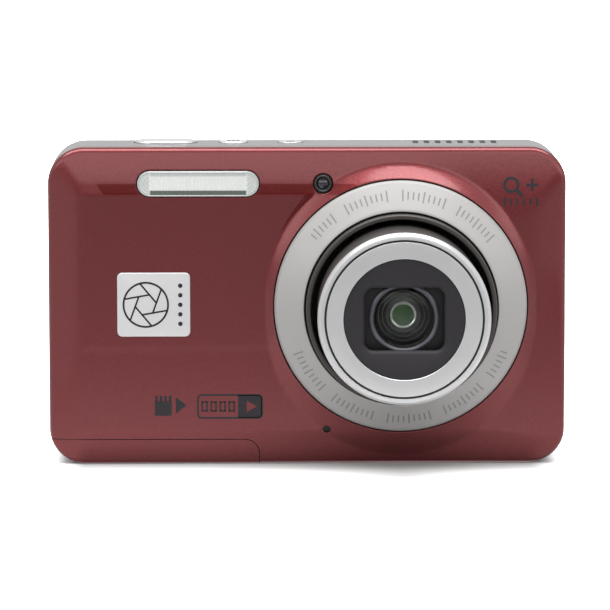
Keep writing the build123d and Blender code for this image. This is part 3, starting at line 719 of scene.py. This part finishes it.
def face_depth(x, z):
    """How far back (y) the front face lies at each point."""
    left = (LEFT_CREASE - x) * RIM_DROP / (SIDE + LEFT_CREASE)
    base_crease = BASE_CREASE - BASE_CREASE_FALL * ease(x, BASE_FALL_START, SIDE)
    base = (base_crease - z) * RIM_DROP / base_crease
    right = (x - RIGHT_CREASE) * RIGHT_DROP / (SIDE - RIGHT_CREASE) * ease(z, *RIGHT_FADE)
    up = z - BAND_HIGH
    bevel = BEVEL_START + BEVEL_SLOPE * up + BEVEL_CURVE * up ** 2
    stepped = np.where(up < 0, BAND_SLOPE * (z - BAND_LOW), bevel)
    rounded = RIM_DROP * (np.maximum(z - ROUND_START, 0) / (TOP - ROUND_START)) ** ROUND_POWER
    top = stepped + (rounded - stepped) * ease(x, *ROUND_FADE)
    depth = soft_max(np.maximum(top, 0), 0, 0.02)
    for fall, crease_width in ((left, 0.55), (base, 0.04), (right, 0.20)):
        depth = soft_max(depth, fall, crease_width)
    radius = np.hypot(x - LENS_X, z - LENS_Z)
    t = np.clip((radius - COLLAR_TOP_R) / (collar_foot(x, z) - COLLAR_TOP_R), 0, 1)
    crown = 0.35
    share = t * (1 + crown - crown * t)
    return depth * share - COLLAR_RISE * (1 - share)


def on_face(row, fall=0.0):
    """The points of an (x, z) row on the front face, or as far behind it as fall says."""
    x, z = np.transpose(row)
    return np.column_stack((x, face_depth(x, z) + fall, z))


def rim_row(inset):
    """Points along the outline from the door's seam on the left, over the top, to its seam below."""
    radius = CORNER - inset
    first = math.asin((CORNER - DOOR_TOP - SEAM) / radius)
    arcs = (
        (-SIDE + CORNER, CORNER, math.pi + first, math.pi),
        (-SIDE + CORNER, TOP - CORNER, math.pi, math.pi / 2),
        (SIDE - CORNER, TOP - CORNER, math.pi / 2, 0.0),
        (SIDE - CORNER, CORNER, 0.0, -math.pi / 2),
    )
    steps = 28
    corners = []
    for cx, cz, start, end in arcs:
        angles = [start + (end - start) * i / steps for i in range(steps + 1)]
        corners.append([(cx + radius * math.cos(a), cz + radius * math.sin(a)) for a in angles])
    ends = [corner[0] for corner in corners[1:]] + [(DOOR_RIGHT + SEAM, inset)]
    upright = TOP - 2 * CORNER
    lengths = (upright, 2 * (SIDE - CORNER), upright, SIDE - CORNER - DOOR_RIGHT - SEAM)
    row = []
    for corner, (end_x, end_z), length in zip(corners, ends, lengths):
        x, z = corner[-1]
        parts = max(2, round(length / GRID))
        row += corner
        row += [(x + (end_x - x) * i / parts, z + (end_z - z) * i / parts) for i in range(1, parts)]
    return row + ends[-1:]


def door_seam(end_x):
    """From the end of the innermost rim row back to its start at end_x, along the door's edge."""
    corner = DOOR_CORNER + SEAM
    turn_x, top = DOOR_RIGHT + SEAM - corner, DOOR_TOP + SEAM
    steps = 12
    angles = [math.pi / 2 * i / steps for i in range(1, steps + 1)]
    path = [(turn_x + corner * math.cos(a), top - corner + corner * math.sin(a)) for a in angles]
    length = turn_x - end_x
    parts = round(length / GRID)
    return path + [(turn_x - length * i / parts, top) for i in range(1, parts)]


def quarter_turn(radius, steps=6):
    """(distance from the edge, fall) pairs of a rounded edge, from its flat side to its wall."""
    turns = [math.pi / 2 * i / steps for i in range(steps + 1)]
    return [(radius * (1 - math.sin(a)), radius * (1 - math.cos(a))) for a in turns]


def add_row(points, faces, last, row, closed=False):
    """Adds a row of points and the quads that join it to the last one."""
    start = len(points)
    points += [tuple(p) for p in row]
    new = list(range(start, start + len(row)))
    after_last = last[1:] + last[:1] * closed
    after_new = new[1:] + new[:1] * closed
    faces += zip(last, after_last, after_new, new)
    return new


def front_cover():
    """The front shell: its face, its rounded rim back to the parting line, and its holes."""
    holes = [  # shape; radius of the edge; width of the band of rows round it
        (circle(LENS_X, LENS_Z, RING_R + 0.2), 0.2, 0.6),
        (pill(FLASH_X, FLASH_Z, FLASH_W + 0.3, FLASH_H + 0.3), 0.16, 0.5),
        (circle(LAMP_X, LAMP_Z, LAMP_R + 0.12), 0.16, 0.4),
        (circle(MIC_X, MIC_Z, MIC_R), 0.14, 0.4),
    ]
    sides = 2 * (SIDE - RIM_INSET), TOP - 2 * RIM_INSET
    face = plate_shape(0, TOP / 2, *sides, CORNER - RIM_INSET)
    far = 200.0  # the door's outline runs on past the cover at the left and below
    right, top = DOOR_RIGHT + SEAM, DOOR_TOP + SEAM
    door = plate_shape(right - far / 2, top - far / 2, far, far, DOOR_CORNER + SEAM)

    def inside(x, z):
        """Negative on the cover's face, positive outside it and in its holes."""
        distance = np.maximum(face(x, z), -door(x, z))
        for outline, _, band in holes:
            distance = np.maximum(distance, band - plate_shape(*outline)(x, z))
        return distance

    innermost = rim_row(RIM_INSET)
    loops = [innermost + door_seam(innermost[0][0])]
    loops += [rounded_loop(*outline, grow=band) for outline, _, band in holes]
    flat, faces, where = sheet(loops, inside, GRID)
    points = [tuple(p) for p in on_face(flat)]
    last = where[:len(innermost)]
    for inset, fall in [(1.6, 0.0), (1.25, 0.0)] + quarter_turn(RIM_FILLET, 9):
        row = on_face(rim_row(inset), fall)
        last = add_row(points, faces, last, row)
    for share in (0.35, 0.7, 1.0):
        back = row[:, 1] + (PARTING - row[:, 1]) * share
        last = add_row(points, faces, last, np.column_stack((row[:, 0], back, row[:, 2])))
    rim = range(len(flat), len(points))
    start = len(loops[0])
    for (outline, radius, band), loop in zip(holes, loops[1:]):
        last = where[start:start + len(loop)]
        start += len(loop)
        for grow, fall in [((band + radius) / 2, 0.0)] + quarter_turn(radius):
            row = on_face(rounded_loop(*outline, grow=grow), fall)
            last = add_row(points, faces, last, row, closed=True)
    faces = [tuple(face) for face in faces]
    offsets = np.tile((0.0, SKIN, 0.0), (len(points), 1))
    offsets[rim] = -(RIM_FILLET - 0.05) * normals_of(points, faces)[rim]
    points, faces = close_shell(points, faces, offsets)
    piece("front_shell", points, faces, "camera_body", "red_metallic", ["front_cover"])


# ---- lens ----
def lens():
    """The conical ring, the outer sleeve, and the cap ring with all that shows inside it."""
    turned("trim_ring", [
        (RING_R, 0.6), (RING_R, -1.25), CONE_OUTER, CONE_INNER, (RING_BORE + 0.1, -4.5), (RING_BORE, -4.2),
        (RING_BORE, -0.8), (RING_BORE + 0.9, -0.8), (RING_BORE + 0.9, -3.1), (RING_R - 1.0, -1.0),
        (RING_R - 1.0, 0.6),
    ], "camera_body", "silver_ring", ["lens_ring"])
    turned("outer_sleeve", [
        (15.9, -6.1), (16.05, -6.3), (16.6, -6.3), (16.8, -6.1), (16.8, 5.7), (15.9, 5.7),
    ], "outer_barrel", "barrel_dark", ["barrel_1"])
    front = LENS_FRONT
    turned("cap_ring", [
        (CAP_OPENING - 0.08, front + 0.08), (CAP_OPENING, front), (13.45, front), (13.52, front + 0.5),
        (13.78, front + 0.5), (13.85, front + 0.06), (14.5, front + 0.14), (15.0, front + 0.8),
        (15.0, -17.0), (12.0, -17.0), (12.0, front + 0.75), (CAP_OPENING, front + 0.75),
    ], "inner_barrel", "bright_trim", ["front_cap"], radius=0.06)
    groove = [(13.5, front + 0.42), (13.8, front + 0.42), (13.8, front + 0.55), (13.5, front + 0.55)]
    turned("cap_groove", groove, "inner_barrel", "blade_black", radius=0.01)
    plate, back = front + 0.25, -17.1
    points, faces = skin([
        circle_ring(10.5, back), circle_ring(10.5, plate + 0.06), circle_ring(10.42, plate),
        rectangle_ring(15.1, 12.2, 2.2, plate), rectangle_ring(14.8, 11.9, 2.1, plate + 0.08),
        rectangle_ring(13.9, 11.0, 1.7, plate + 0.45), rectangle_ring(13.8, 10.9, 1.6, plate + 0.55),
        rectangle_ring(13.8, 10.9, 1.6, back),
    ])
    piece("window_mask", points, faces, "inner_barrel", "mask_dark", ["front_mask"])
    retainer = [(5.3, -15.62), (5.35, -15.85), (5.75, -16.15), (6.1, -16.0), (6.1, -15.62)]
    turned("glass_retainer", retainer, "inner_barrel", "capacitor_sleeve", radius=0.08)
    turned("lens_tube", [
        (5.56, -15.55), (5.56, -14.15), (5.1, -14.1), (4.5, -13.4), (4.3, -13.4), (3.8, -12.8), (3.6, -12.8),
        (3.1, -12.3), (2.42, -12.25), (2.42, -11.85), (5.9, -11.85), (5.9, -15.55),
    ], "inner_barrel", "blade_black", radius=0.05)
    turned("inner_retainer", [
        (1.84, -12.1), (1.92, -12.4), (2.17, -12.55), (2.41, -12.4), (2.41, -11.9), (1.84, -11.9),
    ], "inner_barrel", "steel", radius=0.06, count=96)
    coated = arc_profile(1.8, -12.15, -11.98, 6) + [(1.8, -11.9), (0.0, -11.9)]
    dome("coated_glass", coated, "inner_barrel", "sensor_glass")
    glass = arc_profile(5.5, -16.0, -15.0, 14) + arc_profile(5.5, -15.2, -14.2, 14)[::-1]
    dome("front_glass", glass, "inner_barrel", "lens_glass", ["lens_group_1"])


def ring_ticks():
    """A scale on the lens ring's cone: groups of short strokes above and below the lens."""
    (outer_r, outer_y), (inner_r, inner_y) = CONE_OUTER, CONE_INNER
    slope = (inner_y - outer_y) / (inner_r - outer_r)

    def place(radius, angle, top):
        y = outer_y + slope * (radius - outer_r)
        a = math.radians(angle)
        return LENS_X + radius * math.cos(a), y - 0.02 if top else y + 0.06, LENS_Z + radius * math.sin(a)

    spacing, half, group = 2.7, 0.38, 11
    strokes = []
    for start, end in ((38, 144), (204, 339)):
        for i in range(round((end - start) / spacing)):
            if i % group in (9, 10):
                continue
            near, far = (18.9, 20.8) if i % group in (0, 4, 8) else (19.2, 20.5)
            low, high = (start + spacing * i + side * half for side in (-1, 1))
            strokes.append([(near, low), (far, low), (far, high), (near, high)])
    marks("ring_scale", strokes, place, "camera_body", "control_grey")


# ---- front details ----
def badge():
    """A plain plate with an iris: a ring and six blade edges, and a short column of dots."""
    shape = (BADGE_X, BADGE_Z, BADGE_W, BADGE_H, 0.9)
    front = BADGE_FRONT + 0.03
    edge = [(inset, front + fall) for inset, fall in quarter_turn(0.16, 4)[::-1]]
    rows = [(0.0, BADGE_BACK + 0.05)] + edge
    rings = [[(x, y, z) for x, z in rounded_loop(*shape, grow=-inset)] for inset, y in rows]
    turn_outward(piece("badge", *stack(rings), "camera_body", "badge_silver", ["badge_plate"]))
    x, z = BADGE_X - 1.4, BADGE_Z
    ring, opening = 4.1, 1.9
    reach = opening / 2 + math.sqrt((ring - 0.2) ** 2 - (opening * math.cos(math.pi / 6)) ** 2)
    lines = [frame_line(circle(x, z, ring), 0.34)]
    for blade in range(6):
        angles = [math.radians(60 * (blade + i) + 10) for i in (0, 1)]
        start, corner = (Vector((x + opening * math.cos(a), z + opening * math.sin(a))) for a in angles)
        lines.append(bar(start, start + (corner - start).normalized() * reach, 0.3))
    dots = [circle(BADGE_X + 4.7, BADGE_Z + 1.7 * i, 0.4) for i in range(-2, 3)]
    lines += [rounded_loop(*dot, step=0.15) for dot in dots]
    marks("badge_iris", lines, lambda a, b, top: (a, front - 0.03 if top else front + 0.05, b),
          "camera_body", "mask_dark")


def flash_cover():
    """The flash window: fine upright ribs in the middle and concentric ones in its rounded ends."""
    shape = pill(FLASH_X, FLASH_Z, FLASH_W, FLASH_H)
    margin, step = 0.32, 0.125
    pitch, relief = 0.5, 0.045

    def face(x, z):
        past = np.maximum(np.abs(x - FLASH_X) - (FLASH_W - FLASH_H) / 2, 0)
        phase = np.where(past > 0, np.hypot(past, z - FLASH_Z), x - FLASH_X)
        return FLASH_FRONT + 0.02 + relief * (1 + np.cos(2 * math.pi * phase / pitch))

    outline = plate_shape(*shape)
    loop = rounded_loop(*shape, grow=-margin, step=step)
    flat, faces, last = sheet([loop], lambda x, z: outline(x, z) + margin, step)
    x, z = flat.T
    points = [tuple(p) for p in np.column_stack((x, face(x, z), z))]
    depth = FLASH_BACK - FLASH_FRONT
    border = (0.24, 0.12), (0.2, 0.0), (0.08, 0.0), (0.02, 0.08), (0.0, 0.18), (0.0, depth)
    for inset, fall in border:
        row = [(a, FLASH_FRONT + fall, b) for a, b in rounded_loop(*shape, grow=-inset, step=step)]
        last = add_row(points, faces, last, row, closed=True)
    faces.append(tuple(last))
    turn_outward(piece("flash_cover", points, faces, "camera_body", "flash_diffuser", ["flash_window"]))


def lamp():
    """The focus lamp: a black bezel round a small domed lens."""
    front = LAMP_FRONT
    turned("lamp_bezel", [
        (0.95, front + 0.45), (1.15, front + 0.12), (1.3, front), (1.5, front + 0.04), (LAMP_R, front + 0.2),
        (LAMP_R, LAMP_BACK), (0.95, LAMP_BACK),
    ], "camera_body", "blade_black", ["focus_lamp"], x=LAMP_X, z=LAMP_Z, radius=0.05, count=64)
    profile = arc_profile(0.97, front + 0.12, front + 0.42, 6) + [(0.97, front + 1.4), (0.0, front + 1.4)]
    dome("lamp_glass", profile, "camera_body", "lamp_lens", x=LAMP_X, z=LAMP_Z, count=48)


def microphone():
    """A dark disc behind the microphone hole."""
    radius, front, back = MIC_R + 0.05, 1.15, 1.5
    profile = [(0.0, front), (radius, front), (radius, back), (0.0, back)]
    dome("mic_gauze", profile, "camera_body", "blade_black", x=MIC_X, z=MIC_Z, count=32)


def printed_marks():
    """Pictograms on the front: a memory card, a film strip and a magnifier over a scale."""
    x, z = -25.5, 10.75
    lines = [block(x, z - 0.575, 3.0, 2.55)]
    lines += [block(x - 1.2 + 0.8 * i, z + 1.2, 0.5, 1.1) for i in range(4)]
    lines.append([(x + 2.2, z + 1.5), (x + 2.2, z - 1.5), (x + 4.1, z)])

    film = x, z, width, height, _ = -13.68, 10.54, 11.72, 4.46, 0.9
    split = x + width / 2 - 4.44
    margin = 0.2
    filled = [point for point in rounded_loop(*film, grow=-margin) if point[0] > split]
    filled.sort(key=lambda p: math.atan2(p[1] - z, p[0] - split))
    lines.append(frame_line(film, 0.34))
    lines.append([(split, z - height / 2 + margin), *filled, (split, z + height / 2 - margin)])
    lines += [frame_line((x - 4.5 + 1.6 * i, z, 1.15, 1.9, 0.12), 0.3) for i in range(4)]
    play = [(split + 1.55, z - 1.0), (split + 3.35, z), (split + 1.55, z + 1.0)]

    x, z = 36.0, 49.9
    lines.append(frame_line(circle(x, z, 1.45), 0.5))
    lines.append(bar((x + 1.0, z - 1.0), (x + 2.0, z - 1.95), 0.6))
    lines.append(bar((x + 2.6, z), (x + 4.8, z), 0.5))
    lines.append(bar((x + 3.7, z - 1.1), (x + 3.7, z + 1.1), 0.5))
    lines += [block(x - 1.2 + 1.15 * i, z - 2.95, 0.4, 1.6 if i % 5 == 0 else 1.1) for i in range(6)]
    marks("front_marks", lines, on_front(0.02), "camera_body", "mask_dark")
    marks("film_mark", [play], on_front(0.04), "camera_body", "red_metallic")


# ---- rear controls ----
KEY_FLOOR = 15.8
KEY_FACE = KEY_TOP - 0.04  # the pad's rim stands a little higher than the keys
KEY_SIZE = (6.8, 4.2)
ROCKER_SIZE = (13.0, 4.6)
ON_KEYS = on_rear(lambda x, z: KEY_FACE)


def key_cap(name, node, body, size, flange, floor, dish=lambda x, z: 0.0):
    """A pill-shaped key with a flange below and rounded edges on top; dish gives its face's depth."""
    x, z, *_ = measures(node)
    shape = pill(x, z, *size)
    edge = shape[-1]
    rows = [(0.0, floor)]
    if flange:
        rows = [(flange, floor), (flange, floor + 0.55), (0.0, floor + 0.55)]
    rings = [[(a, y, b) for a, b in rounded_loop(*shape, grow=grow)] for grow, y in rows]
    rows = [(-inset, KEY_FACE - fall) for inset, fall in quarter_turn(0.4, 5)[::-1]]
    rows += [(-share * (edge - 0.05), KEY_FACE) for share in (0.35, 0.55, 0.8, 1.0)]
    rings += [[(a, y - dish(a, b), b) for a, b in rounded_loop(*shape, grow=grow)] for grow, y in rows]
    turn_outward(piece(name, *stack(rings), body, "control_grey", [node]))
    return x, z


def menu_mark(x, z):
    return [block(x, z + 0.75 * i, 2.2, 0.3) for i in (-1, 0, 1)]


def playback_mark(x, z):
    arrow = [(x + 0.5, z - 0.6), (x + 0.5, z + 0.6), (x - 0.6, z)]
    return [frame_line((x, z, 3.0, 2.2, 0.25), 0.25), arrow]


def delete_mark(x, z):
    bin_line = frame_line((x, z - 0.25, 1.5, 1.7, 0.2), 0.25)
    return [bin_line, block(x, z + 0.95, 2.1, 0.28), block(x, z + 1.2, 0.7, 0.2)]


def display_mark(x, z):
    return [frame_line((x, z + 0.15, 2.8, 1.7, 0.2), 0.25), block(x, z - 1.05, 1.4, 0.28)]


def rear_keys():
    """The four keys round the pad, each with its pictogram."""
    pictograms = {
        "menu": menu_mark, "playback": playback_mark, "delete": delete_mark, "display": display_mark,
    }
    for key, pictogram in pictograms.items():
        x, z = key_cap(f"{key}_cap", f"{key}_button", f"{key}_key", KEY_SIZE, 0.5, KEY_FLOOR)
        marks(f"{key}_mark", pictogram(x, z), ON_KEYS, f"{key}_key", "gear_white")


def rocker():
    """The zoom rocker: dished in the middle, nine dots at one end and a square at the other."""
    middle, _, _, _, floor, _ = measures("zoom_rocker")
    reach, depth = 2.7, 0.2

    def dish(x, z):
        return depth * max(0.0, 1 - ((x - middle) / reach) ** 2)

    x, z = key_cap("rocker_cap", "zoom_rocker", "rocker", ROCKER_SIZE, 0.0, floor, dish)
    end, pitch = 4.5, 0.75
    grid = [(i, j) for i in (-1, 0, 1) for j in (-1, 0, 1)]
    lines = [block(x + end + pitch * i, z + pitch * j, 0.45, 0.45) for i, j in grid]
    lines.append(frame_line((x - end, z, 2.0, 2.0, 0.2), 0.3))
    marks("rocker_marks", lines, ON_KEYS, "rocker", "gear_white")


def pad():
    """Four-way ring with an arrowhead at each quarter, and a ring on the round key in its middle."""
    inner_r, inner_y = 4.2, KEY_TOP - 0.45
    outer_r, outer_y = PAD_R - 1.1, KEY_FACE
    bore, back = 3.75, 15.75
    turned("pad_ring", [
        (bore, back), (bore, KEY_TOP - 0.5), (inner_r, inner_y), (outer_r, outer_y), (PAD_R - 0.6, KEY_TOP),
        (PAD_R - 0.2, KEY_TOP - 0.1), (PAD_R, KEY_TOP - 0.45), (PAD_R, back),
    ], "nav_pad", "control_grey", ["nav_ring"], x=PAD_X, z=PAD_Z, radius=0.15, count=96)

    def dished(x, z):
        radius = math.hypot(x - PAD_X, z - PAD_Z)
        return inner_y + (outer_y - inner_y) * (radius - inner_r) / (outer_r - inner_r)

    arrows = []
    for quarter in range(4):
        a = math.pi / 2 * quarter
        out, side = Vector((math.cos(a), math.sin(a))), Vector((-math.sin(a), math.cos(a)))
        centre = Vector((PAD_X, PAD_Z)) + out * 5.9
        tips = (0.55, 0.0), (-0.3, 0.65), (-0.3, -0.65)
        arrows.append([tuple(centre + out * along + side * across) for along, across in tips])
    marks("pad_marks", arrows, on_rear(dished), "nav_pad", "gear_white")
    centre_top = node_box("ok_button")[1].y
    ring = frame_line(circle(PAD_X, PAD_Z, 1.3), 0.28)
    marks("centre_mark", [ring], on_rear(lambda x, z: centre_top), "ok_key", "black_plastic")


def top_marks():
    """The power key's open ring and stroke, and the video key's round spot."""
    low, high = node_box("power_button")
    x, y = (low.x + high.x) / 2, (low.y + high.y) / 2
    radius, stroke = 1.15, 0.28
    arc = [math.radians(125 + 290 * i / 24) for i in range(25)]
    sides = (radius, arc), (radius - stroke, arc[::-1])
    ring = [(x + r * math.cos(a), y + r * math.sin(a)) for r, angles in sides for a in angles]
    lines = [ring, bar((x, y + 0.25), (x, y + 1.45), stroke)]
    marks("power_mark", lines, on_top(high.z), "power_key", "black_plastic")
    low, high = node_box("video_button")
    x, y = (low.x + high.x) / 2, (low.y + high.y) / 2
    spot = rounded_loop(*circle(x, y, 0.8), step=0.2)
    marks("video_mark", [spot], on_top(high.z), "video_key", "control_grey")


# ---- studio ----
def floor_plane():
    """A white table top with a painted contact shadow round the camera's footprint and painted light further
    off, which reflections see darker than the camera does.

    Light from below passes it, and so does light to whatever stands on it, so that the base is not black."""
    side, contact = 6.0, 0.0005  # metres
    side_weight = 1.8  # the painted shadow reaches less far past the sides
    mesh = bpy.data.meshes.new("floor")
    mesh.from_pydata([(x, y, 0) for x, y in block(0, 0, side, side)], [], [(0, 1, 2, 3)])
    floor = bpy.data.objects.new("floor", mesh)
    SCENE.collection.objects.link(floor)
    paper = Paint("floor_paper", (0.8, 0.8, 0.8), roughness=0.9, Specular_IOR_Level=0.0)
    middle = REAR / 2
    past_side = paper.less(paper.maths("ABSOLUTE", paper.axis(0)), SIDE - CORNER)
    past_end = paper.less(paper.maths("ABSOLUTE", paper.less(paper.axis(1), middle)), middle)
    past_side, past_end = (paper.maths("MAXIMUM", past, 0.0) for past in (past_side, past_end))
    distance = paper.hypotenuse(paper.product(past_side, side_weight), past_end)
    # painted shadow by distance from the footprint, then painted light towards the far floor; reflections
    # get darker painted levels
    painted_shadow = paper.step(distance, -1.0, 14.0, 0.32, 1.15)
    painted_light = paper.step(distance, 30.0, 700.0, painted_shadow, 3.0)
    painted_mirror_shadow = paper.step(distance, -1.0, 6.0, 0.40, 0.72)
    painted_mirror = paper.step(distance, 20.0, 140.0, painted_mirror_shadow, 0.36)
    path = paper.node("LightPath").outputs
    paper.colour(paper.spread(path["Is Camera Ray"], painted_mirror, painted_light))
    below = paper.node("NewGeometry").outputs["Backfacing"]
    touching = paper.maths("LESS_THAN", path["Ray Length"], contact)
    mixed = paper.node("MixShader", Fac=paper.maths("MAXIMUM", below, touching))
    paper.feed(mixed.inputs[1], paper.shader.outputs[0])
    paper.feed(mixed.inputs[2], paper.node("BsdfTransparent").outputs[0])
    paper.feed(paper.tree.nodes["Material Output"].inputs["Surface"], mixed.outputs[0])
    mesh.materials.append(paper.material)


def sky():
    """Soft light from all round: bright in front above the horizon, dim in front below it."""
    world = bpy.data.worlds.new("studio")
    world.use_nodes = True
    SCENE.world = world
    graph = Graph(world.node_tree)
    towards = graph.node("TexCoord").outputs["Generated"]
    _, y, z = graph.node("SeparateXYZ", Vector=towards).outputs
    low_front = graph.step(z, 0.10, 0.28, 0.15, 3.2)
    front = graph.step(z, 0.38, 0.62, low_front, 0.9)
    behind = graph.step(y, 0.3, 0.8, 0.85, 0.95)
    all_round = graph.step(y, -0.6, -0.15, front, behind)
    seen = graph.node("LightPath").outputs["Is Camera Ray"]
    background = graph.tree.nodes["Background"].inputs
    background["Color"].default_value = (1.0, 1.0, 1.0, 1.0)
    graph.feed(background["Strength"], graph.step(seen, 0.0, 1.0, all_round, 1.0))


def softbox(name, place, size, radiance, aim):
    """A soft rectangular light that faces aim; place, size and aim are in millimetres."""
    light = bpy.data.lights.new(name, "AREA")
    light.shape = "RECTANGLE"
    light.size, light.size_y = (side * MM for side in size)
    light.energy = radiance * math.pi * light.size * light.size_y
    obj = bpy.data.objects.new(name, light)
    obj.location = Vector(place) * MM
    direction = Vector(aim) - Vector(place)
    obj.rotation_euler = direction.to_track_quat("-Z", "Y").to_euler()
    obj.visible_camera = False
    SCENE.collection.objects.link(obj)


def studio():
    floor_plane()
    sky()
    softbox("overhead", (0, -150, 900), (1100, 430), 9.5, aim=(0, 0, 30))
    for name, x in (("left_card", -95), ("right_card", 97)):
        softbox(name, (x, -60, 100), (200, 320), 0.5, aim=(0, -60, 100))


def camera():
    """A long lens in front of the object, a little above it and to its left."""
    view = bpy.data.cameras.new("view")
    view.lens = 228.2
    view.sensor_width = 36.0
    down, right = 0.13778, 0.01534  # turns in radians
    obj = bpy.data.objects.new("view", view)
    obj.location = Vector((-10.76, -676.9, 122.55)) * MM
    obj.rotation_euler = (math.pi / 2 - down, 0, -right)
    SCENE.collection.objects.link(obj)
    SCENE.camera = obj


dress_nodes()
front_cover()
lens()
ring_ticks()
badge()
flash_cover()
lamp()
microphone()
printed_marks()
rear_keys()
rocker()
pad()
top_marks()
studio()
camera()
SCENE.view_settings.view_transform = "Standard"
SCENE.cycles.use_denoising = True
